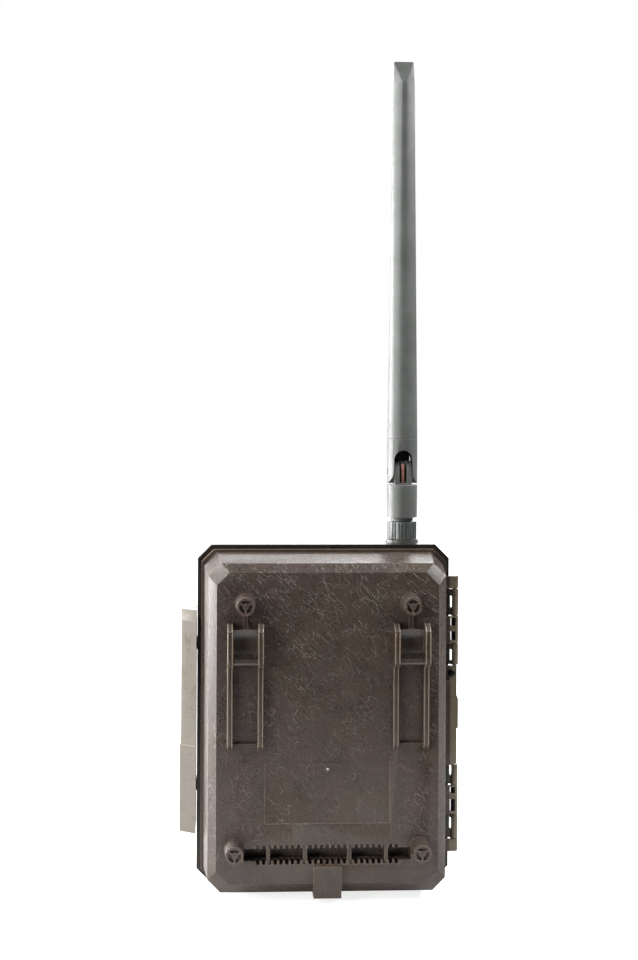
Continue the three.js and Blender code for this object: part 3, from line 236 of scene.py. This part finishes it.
def leather(name, smooth_below, painted_rim_shade=0.0, painted_light=0.0):
    """Brown plastic moulded with a leather grain: thin creases mostly on one diagonal, over fine pores."""
    s = Shader(name)

    # Creases, in patches
    diagonal = s.mapped((0.26, 1.0, 1.0), (0, math.radians(50), 0), s.mm)
    long_lines = s.ramp(s.cell_edges(s.warped(diagonal, 1.1, 0.35), 0.5), 0.0, 0.034, 1.0, 0.0)
    steep = s.mapped((0.4, 1.0, 1.0), (0, math.radians(28), 0), s.mm)
    short_lines = s.ramp(s.cell_edges(s.warped(steep, 1.0, 0.5), 0.85), 0.0, 0.045, 0.6, 0.0)
    here = s.ramp(s.noise(s.mm, 0.14, 3.0, 0.7), 0.44, 0.6)
    there = s.ramp(s.noise(s.mm, 0.22, 3.0, 0.7), 0.46, 0.62)
    crease = s.math("MAXIMUM", s.times(long_lines, here), s.times(short_lines, there))

    # No creases on the rim, or below the panel's foot
    from_seam = s.away_from("Y", SEAM_Y)
    off_rim = s.ramp(from_seam, *RIM_REACH)
    above_foot = s.ramp(s.coordinate("Z"), smooth_below - 0.6, smooth_below + 0.6)
    leathery = s.times(above_foot, off_rim)
    crease = s.times(crease, leathery)

    # Browns that vary over the panel, paler pores and creases
    pores = s.noise(s.mm, 2.3, 3.0, 0.7)
    broad = s.ramp(s.noise(s.mm, 0.045, 3.0, 0.6), 0.38, 0.62)
    blotch = s.ramp(s.noise(s.mm, 0.11, 3.0, 0.6), 0.45, 0.75, 0.0, 0.8)
    colour = s.blend(broad, srgb(51, 41, 38), srgb(52, 43, 33))
    colour = s.blend(blotch, colour, srgb(38, 32, 29))
    colour = s.blend(s.ramp(pores, 0.48, 0.7, 0.0, 0.75), colour, srgb(78, 67, 59))
    # Paled towards light grey by the given share: painted light for the side light the latch's face
    # catches.
    colour = s.blend(painted_light, colour, srgb(150, 145, 134))
    colour = s.blend(s.times(crease, 0.2), colour, srgb(140, 126, 116))

    # Paler edges, partly wear and partly a painted highlight, left off the top of the label recess where
    # it lies in shade (painted shade); and hinge knuckles painted tan, a painted highlight
    off_label_top = s.math(
        "MAXIMUM",
        s.ramp(s.away_from("Z", LABEL_TOP_Z), 0.4, 0.6),
        s.ramp(s.math("ABSOLUTE", s.coordinate("X")), *LABEL_SIDE_X),
    )
    wear_and_highlight_share = s.times(s.wear_and_highlight_edges(), s.times(off_label_top, 0.6))
    colour = s.blend(wear_and_highlight_share, colour, srgb(158, 138, 120))
    # Hinge knuckles painted tan: a painted highlight for the light they catch.
    colour = s.blend(s.ramp(s.coordinate("X"), *HINGE_HIGHLIGHT_X, 0.75, 0.0), colour, srgb(104, 95, 78))
    # The front shell's rim near the seam, inside the hinge, painted near black: painted shade where the
    # recessed rim lies in shadow.
    if painted_rim_shade:
        inside_hinge = s.ramp(s.coordinate("X"), *RIM_SHADE_X)
        shade = s.times(s.ramp(from_seam, *RIM_REACH, 1.0, 0.0), inside_hinge)
        colour = s.blend(s.times(shade, painted_rim_shade), colour, srgb(14, 9, 6))

    gloss = s.ramp(s.math("ADD", pores, s.noise(s.mm, 0.25, 3.0)), 0.6, 1.4, 0.24, 0.42)
    s.put(s.surface, Base_Color=colour, Roughness=gloss, IOR=1.5, Specular_IOR_Level=0.42)
    rough = s.bump(s.times(pores, s.ramp(leathery, 0.0, 1.0, 0.4, 1.0)), 0.07 * MM, 0.9)
    s.put(s.surface, Normal=s.bump(crease, 0.09 * MM, 0.9, rough))
    return s.material


def glossy(name, colour, roughness, tint=0.5):
    """Polished sheet or glass with faint dust and wipe marks in its gloss."""
    s = Shader(name)
    wipes = s.noise(s.mapped((0.25, 1.0, 1.3), (0, 0.6, 0), s.mm), 0.6, 4.0, 0.7)
    shade = tuple(c * tint for c in colour)
    base = s.blend(s.ramp(s.noise(s.mm, 0.08), 0.3, 0.7), colour, shade)
    gloss = s.ramp(wipes, 0.35, 0.8, roughness * 0.6, roughness * 1.8)
    s.put(s.surface, Base_Color=base, Roughness=gloss, IOR=1.5)
    s.put(s.surface, Coat_Weight=0.4, Coat_Roughness=0.05)
    s.put(s.surface, Normal=s.bump(wipes, 0.002 * MM, 0.4))
    return s.material


def board(name):
    """Circuit board: solder mask over faint copper tracks."""
    s = Shader(name)
    tracks = s.add("ShaderNodeTexBrick", offset=0.37, squash=0.6, squash_frequency=3)
    s.put(tracks, Vector=s.mapped((1, 1, 1), (math.radians(90), 0, 0), s.mm), Scale=0.22)
    s.put(tracks, Mortar_Size=0.035, Mortar_Smooth=0.2, Brick_Width=0.9, Row_Height=0.32)
    line = tracks.outputs["Fac"]
    colour = s.blend(line, srgb(24, 74, 46), srgb(44, 112, 66))
    colour = s.blend(s.ramp(s.noise(s.mm, 0.3, 3.0), 0.4, 0.7, 0.0, 0.5), colour, srgb(18, 56, 38))
    gloss = s.ramp(s.noise(s.mm, 1.5), 0.3, 0.7, 0.3, 0.55)
    s.put(s.surface, Base_Color=colour, Roughness=gloss, IOR=1.5)
    s.put(s.surface, Normal=s.bump(line, 0.03 * MM, 0.8))
    return s.material


def cell_sleeve(name):
    """Shrink sleeve of a battery cell: mottled dark green, with faint wrinkles along the cell."""
    s = Shader(name)
    wrinkle = s.noise(s.mapped((1.0, 1.0, 0.15), (0, 0, 0), s.mm), 0.9, 3.0)
    colour = s.blend(s.ramp(s.noise(s.mm, 0.15, 3.0), 0.35, 0.7), srgb(38, 66, 52), srgb(52, 88, 68))
    gloss = s.ramp(wrinkle, 0.3, 0.7, 0.25, 0.45)
    s.put(s.surface, Base_Color=colour, Roughness=gloss, Metallic=0.25)
    s.put(s.surface, Coat_Weight=0.5, Coat_Roughness=0.15)
    s.put(s.surface, Normal=s.bump(wrinkle, 0.03 * MM, 0.6))
    return s.material


def plastic(name, colour, wear_and_highlight, *numbers, **options):
    """Moulded plastic from 8-bit colours; the numbers are roughness, grain and depth."""
    return moulded(name, srgb(*colour), srgb(*wear_and_highlight), *numbers, **options)


materials = {
    "case_plastic": leather("leather_brown", PANEL_FOOT_Z),
    "smooth_plastic": plastic("smooth_brown", (52, 42, 35), (150, 128, 108), 0.32, 1.8, 0.012),
    "gasket_rubber": plastic("gasket_rubber", (24, 24, 25), (60, 60, 60), 0.8, 2.4, 0.03),
    "black_steel": metal("black_steel", srgb(40, 40, 42), 0.38),
    "steel": metal("satin_steel", srgb(178, 178, 176), 0.3),
    "sheet_metal": metal("sheet_aluminium", srgb(190, 192, 194), 0.35, stretch=(12.0, 1.0, 1.0)),
    "vent_white": plastic("vent_white", (238, 236, 230), (245, 245, 240), 0.7, 3.0, 0.02),
    "inner_plastic": plastic("inner_plastic", (42, 43, 45), (86, 88, 90), 0.55, 2.2, 0.03),
    "contact_nickel": metal("nickel_plate", srgb(205, 200, 186), 0.24),
    "cell_jacket": cell_sleeve("cell_sleeve"),
    "brass": metal("brass", srgb(196, 160, 88), 0.28, stretch=(1.0, 1.0, 18.0)),
    "ir_panel": glossy("ir_panel", srgb(16, 10, 14), 0.16),
    "circuit_board": board("circuit_board"),
    "dark_plastic": plastic("dark_plastic", (36, 38, 40), (96, 98, 98), 0.4, 2.0, 0.015),
    "lens_glass": glossy("lens_glass", srgb(22, 26, 42), 0.04, 0.4),
    "lens_metal": metal("black_anodised", srgb(34, 34, 37), 0.3),
    "pir_film": plastic("pir_film", (172, 170, 160), (206, 204, 196), 0.42, 1.5, 0.05),
    "sensor_can": metal("sensor_can", srgb(200, 198, 190), 0.22),
    "led_amber": glossy("led_amber", srgb(205, 105, 48), 0.12),
    "screen": glossy("screen", srgb(24, 34, 40), 0.07),
    "button_plastic": plastic("button_grey", (112, 116, 118), (170, 172, 172), 0.5, 2.4, 0.02),
    "switch_plastic": plastic("switch_orange", (196, 96, 44), (224, 150, 104), 0.45, 2.4, 0.02),
    "card_plastic": plastic("card_blue", (38, 66, 98), (96, 120, 148), 0.42, 2.4, 0.015),
    "sim_plastic": plastic("card_white", (232, 231, 226), (242, 242, 238), 0.45, 2.4, 0.015),
    "antenna_plastic": plastic(
        "antenna_grey", (84, 86, 84), (140, 142, 139), 0.45, 2.6, 0.006, specular=0.3,
    ),
    "nut_plastic": plastic("nut_grey", (56, 60, 58), (118, 122, 118), 0.36, 2.6, 0.01),
    "coax_jacket": plastic("coax_pink", (150, 104, 92), (190, 150, 138), 0.5, 2.0, 0.01),
}


# ---- Mesh helpers ----

def show(name, bm, slot, body, replaces=(), sharp=SHARP_ANGLE, material=None):
    """Makes a named object from a bmesh and puts it on its body."""
    bmesh.ops.recalc_face_normals(bm, faces=bm.faces)
    mesh = bpy.data.meshes.new(name)
    bm.to_mesh(mesh)
    bm.free()
    piece = bpy.data.objects.new(name, mesh)
    bpy.context.scene.collection.objects.link(piece)
    mesh.materials.append(material or materials[slot])
    mesh.shade_smooth()
    mesh.set_sharp_from_angle(angle=sharp)
    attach(piece, body)
    if replaces:
        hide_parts(*replaces)
    return piece


def copy_of(node):
    """A clean bmesh of a CAD node: one vertex a corner, one face a flat."""
    bm = bmesh.new()
    bm.from_mesh(frame["nodes"][node].data)
    bmesh.ops.remove_doubles(bm, verts=bm.verts, dist=2e-6)
    flat = math.radians(0.6)
    bmesh.ops.dissolve_limit(
        bm, angle_limit=flat, verts=bm.verts, edges=bm.edges, use_dissolve_boundaries=False,
    )
    return bm


def refine(node, width, material=None):
    """Shows a CAD node with its edges rounded, as moulded; width in mm."""
    piece = show(
        f"{node}_fine", copy_of(node), SLOT_OF[node], BODY_OF[node], (node,), material=material,
    )
    bevel = piece.modifiers.new("rounding", "BEVEL")
    bevel.width = width * MM
    bevel.segments = 2
    bevel.limit_method = "ANGLE"
    bevel.angle_limit = math.radians(28)
    bevel.use_clamp_overlap = True
    bevel.harden_normals = True
    bevel.miter_outer = "MITER_ARC"


def around(sides):
    """Angles at equal steps round a circle."""
    return [2 * math.pi * k / sides for k in range(sides)]


def bridge(bm, rings):
    """Faces between each ring of vertices and the next."""
    for ring, following in zip(rings, rings[1:]):
        sides = len(ring)
        for k in range(sides):
            after = (k + 1) % sides
            bm.faces.new((ring[k], ring[after], following[after], following[k]))


# ---- CAD nodes: their finish, and rounded edges where they show ----

for node, cad in frame["nodes"].items():
    cad.data.materials.clear()
    cad.data.materials.append(materials[SLOT_OF[node]])

refine("rear_shell", 0.32)
# The front shell's rim is painted near black: painted shade.
refine("front_shell", 0.35, material=leather("leather_brown_painted_rim_shade", 0.0, painted_rim_shade=0.8))
refine("strap_loop_left", 0.36)
refine("strap_loop_right", 0.36)
# The latch is a paler copy of the case leather: painted light.
refine("latch_lever", 0.5, material=leather("leather_latch_painted_light", BELOW_EVERYTHING, painted_light=0.24))
for node in ("antenna_barrel", "antenna_fork", "coupling_nut", "lens_bezel", "tripod_boss"):
    refine(node, 0.16)
refine("antenna_sleeve", 0.3)
refine("battery_tray", 0.25)


# ---- Strap loops: ribs along the edges of the rails, paler than the loop as a painted highlight ----

RIB_SIDES = 8
RIB_STEPS = 46
RIB_RADIUS = 0.23 * MM
RIB_LIFT = 0.02 * MM
RIB_END_GAP = 0.7 * MM
RIB_INSETS = (0.3 * MM, 1.9 * MM)
RAY_START = 1.0 * MM


def bead(bm, points, radius):
    """A round-ended bead along points that lie in one plane across X."""
    rings = []
    across = Vector((1.0, 0.0, 0.0))
    last = len(points) - 1
    for i, point in enumerate(points):
        along = (points[min(i + 1, last)] - points[max(i - 1, 0)]).normalized()
        out = across.cross(along)
        size = radius * (0.45 if i in (0, last) else 1.0)
        rings.append([
            bm.verts.new(point + size * (math.cos(a) * across + math.sin(a) * out))
            for a in around(RIB_SIDES)
        ])
    bridge(bm, rings)
    bm.faces.new(rings[0])
    bm.faces.new(rings[-1])


def loop_ribs(node):
    """Two ribs on each rail of a strap loop, laid on its outer surface."""
    low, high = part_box(node)
    source = copy_of(node)
    tree = BVHTree.FromBMesh(source)
    source.free()
    outer, inner = RIB_INSETS
    inwards = Vector((0.0, -1.0, 0.0))
    bm = bmesh.new()
    for x in (low.x + outer, low.x + inner, high.x - inner, high.x - outer):
        points = []
        for i in range(RIB_STEPS + 1):
            z = low.z + RIB_END_GAP + (high.z - low.z - 2 * RIB_END_GAP) * i / RIB_STEPS
            hit = tree.ray_cast(Vector((x, high.y + RAY_START, z)), inwards)[0]
            if hit is not None:
                points.append(Vector((x, hit.y + RIB_LIFT, z)))
        bead(bm, points, RIB_RADIUS)
    show(f"{node}_ribs", bm, SLOT_OF[node], BODY_OF[node], material=rib_painted_highlight)


# Ribs paler than the loop: a painted highlight along the rails' edges.
rib_painted_highlight = plastic("pale_rib_painted_highlight", (98, 83, 69), (150, 130, 111), 0.32, 2.0, 0.01)
for side in ("left", "right"):
    loop_ribs(f"strap_loop_{side}")


# ---- Vent: a raised ring round its white membrane ----

def vent_ring():
    low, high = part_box("vent_plug")
    centre = (low + high) / 2
    radius = (high.x - low.x) / 2
    # Half millimetres above the plug's face, and shares of its radius
    profile = ((0.5, 0.55), (0.5, 0.95), (0.28, 1.22), (-0.05, 1.3), (-0.05, 0.62))
    bm = bmesh.new()
    rings = []
    for out, reach in profile:
        y = high.y + out * MM * 0.5
        size = radius * reach
        rings.append([
            bm.verts.new((centre.x + size * math.cos(a), y, centre.z + size * math.sin(a)))
            for a in around(40)
        ])
    bridge(bm, rings + rings[:1])
    show("vent_ring", bm, "smooth_plastic", BODY_OF["vent_plug"])


vent_ring()


# ---- Screws with domed, cross-slotted heads ----

SCREW_SIDES = 48
SCREW_AXIS = Vector((0.0, 1.0, 0.0))
DOME_SHARES = (0.0, 0.14, 0.28, 0.42, 0.56, 0.7, 0.84, 0.95, 1.0)
SLOT_HALF_WIDTH = 0.13
SLOT_REACH = 0.6


def screw(name, node):
    """A domed head with a cross recess on a short shank, where the CAD screw is; it faces +Y."""
    low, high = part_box(node)
    radius = (high.x - low.x) / 2
    length = high.y - low.y
    head = min(1.1 * MM, 0.62 * length)
    apex = (low + high) / 2
    apex.y = high.y
    bm = bmesh.new()

    def ring(share, drop, recess=0.0):
        """A ring at a share of the head's radius; points inside the cross go deeper by the recess."""
        vertices = []
        for a in around(SCREW_SIDES):
            u, v = share * math.cos(a), share * math.sin(a)
            slotted = min(abs(u), abs(v)) < SLOT_HALF_WIDTH and max(abs(u), abs(v)) < SLOT_REACH
            depth = drop + recess if slotted else drop
            place = apex - SCREW_AXIS * depth
            vertices.append(bm.verts.new(place + radius * Vector((u, 0.0, v))))
        return vertices

    rings = [ring(share, head * 0.45 * share ** 3, head * 0.5) for share in DOME_SHARES]
    rings += [ring(share, drop) for share, drop in ((1.0, head), (0.5, head), (0.46, length))]
    bridge(bm, rings)
    bm.faces.new(rings[-1])
    bmesh.ops.remove_doubles(bm, verts=bm.verts, dist=1e-7)
    show(name, bm, SLOT_OF[node], BODY_OF[node], (node,), sharp=math.radians(40))


screw("hinge_screw_head", "hinge_screw")
for node in sorted(n for n in frame["nodes"] if n.startswith("inner_cover_screw")):
    screw(f"{node}_head", node)


# ---- Studio ----

FLOOR_RADIUS = 1.1
FLOOR_CENTRE = (0.0, -0.9, 0.0)
FLOOR_GLOW = 0.78
SKY_SEEN = 1.0
SKY_LIT = 0.12


def stage():
    """A white paper disc, mostly on the lens side, that runs into the white surround."""
    bm = bmesh.new()
    bmesh.ops.create_circle(bm, cap_ends=True, segments=96, radius=FLOOR_RADIUS)
    bmesh.ops.translate(bm, verts=bm.verts, vec=FLOOR_CENTRE)
    mesh = bpy.data.meshes.new("floor")
    bm.to_mesh(mesh)
    bm.free()
    floor = bpy.data.objects.new("floor", mesh)
    bpy.context.scene.collection.objects.link(floor)
    s = Shader("floor_paper")
    paper = s.blend(s.noise(s.mm, 0.004), (0.6, 0.6, 0.6), (0.64, 0.64, 0.64))
    s.put(s.surface, Base_Color=paper, Roughness=0.6)
    seen = s.add("ShaderNodeLightPath").outputs["Is Camera Ray"]
    s.put(s.surface, Emission_Color=(1.0, 1.0, 1.0, 1.0))
    s.put(s.surface, Emission_Strength=s.times(seen, FLOOR_GLOW))
    mesh.materials.append(s.material)


def sky():
    """A plain white surround: one strength where it is seen and one where it lights."""
    world = bpy.data.worlds.new("studio")
    bpy.context.scene.world = world
    world.use_nodes = True
    nodes, links = world.node_tree.nodes, world.node_tree.links
    background = nodes["Background"]
    path = nodes.new("ShaderNodeLightPath")
    mix = nodes.new("ShaderNodeMapRange")
    mix.inputs["To Min"].default_value = SKY_LIT
    mix.inputs["To Max"].default_value = SKY_SEEN
    links.new(path.outputs["Is Camera Ray"], mix.inputs["Value"])
    links.new(mix.outputs["Result"], background.inputs["Strength"])
    background.inputs["Color"].default_value = (1.0, 1.0, 1.0, 1.0)


def softbox(name, place, target, size, power):
    """A rectangular area light, in metres and watts, that the camera doesn't see."""
    data = bpy.data.lights.new(name, "AREA")
    data.shape = "RECTANGLE"
    data.size, data.size_y = size
    data.energy = power
    light = bpy.data.objects.new(name, data)
    bpy.context.scene.collection.objects.link(light)
    light.location = place
    light.rotation_mode = "QUATERNION"
    light.rotation_quaternion = (Vector(target) - Vector(place)).to_track_quat("-Z", "Y")
    light.visible_camera = False


def camera():
    """The view from behind, a little to the latch side and above, with the frame shifted down."""
    yaw, pitch, roll = -0.053, 0.0042, -0.0046
    place = (0.0429, 0.6545, 0.206)
    forward = Vector((
        math.sin(yaw) * math.cos(pitch), -math.cos(yaw) * math.cos(pitch), math.sin(pitch),
    ))
    level = Vector((-math.cos(yaw), -math.sin(yaw), 0.0))
    above = level.cross(forward)
    right = level * math.cos(roll) - above * math.sin(roll)
    up = level * math.sin(roll) + above * math.cos(roll)
    data = bpy.data.cameras.new("camera")
    data.lens = 60.48
    data.sensor_width = 36.0
    data.shift_x = 0.0153
    data.shift_y = -0.1199
    seen_from = bpy.data.objects.new("camera", data)
    bpy.context.scene.collection.objects.link(seen_from)
    turn = Matrix((right, up, -forward)).transposed()
    seen_from.matrix_world = Matrix.Translation(place) @ turn.to_4x4()
    bpy.context.scene.camera = seen_from


stage()
sky()
softbox("latch_side_light", (1.05, -0.34, 0.36), (0, 0, 0.08), (0.9, 1.0), 76)
softbox("latch_front_light", (0.95, 0.92, 0.34), (0, 0, 0.08), (0.5, 0.6), 12)
softbox("latch_high_light", (0.75, 0.38, 0.85), (0, 0, 0.13), (0.4, 0.4), 8)
softbox("hinge_high_light", (-0.75, 0.38, 0.85), (0, 0, 0.13), (0.4, 0.4), 6)
softbox("hinge_side_light", (-0.85, -0.1, 0.9), (0, 0, 0.1), (0.6, 0.6), 20)
softbox("back_light", (0.0, -1.6, 0.62), (0, 0, 0.13), (1.1, 1.0), 12.7)
softbox("top_light", (0.0, -0.45, 1.3), (0, -0.1, 0.1), (1.6, 0.9), 9)
softbox("front_light", (-0.5, 1.1, 1.5), (0, 0, 0.1), (1.2, 1.0), 3)
camera()
bpy.context.scene.view_settings.view_transform = "Standard"
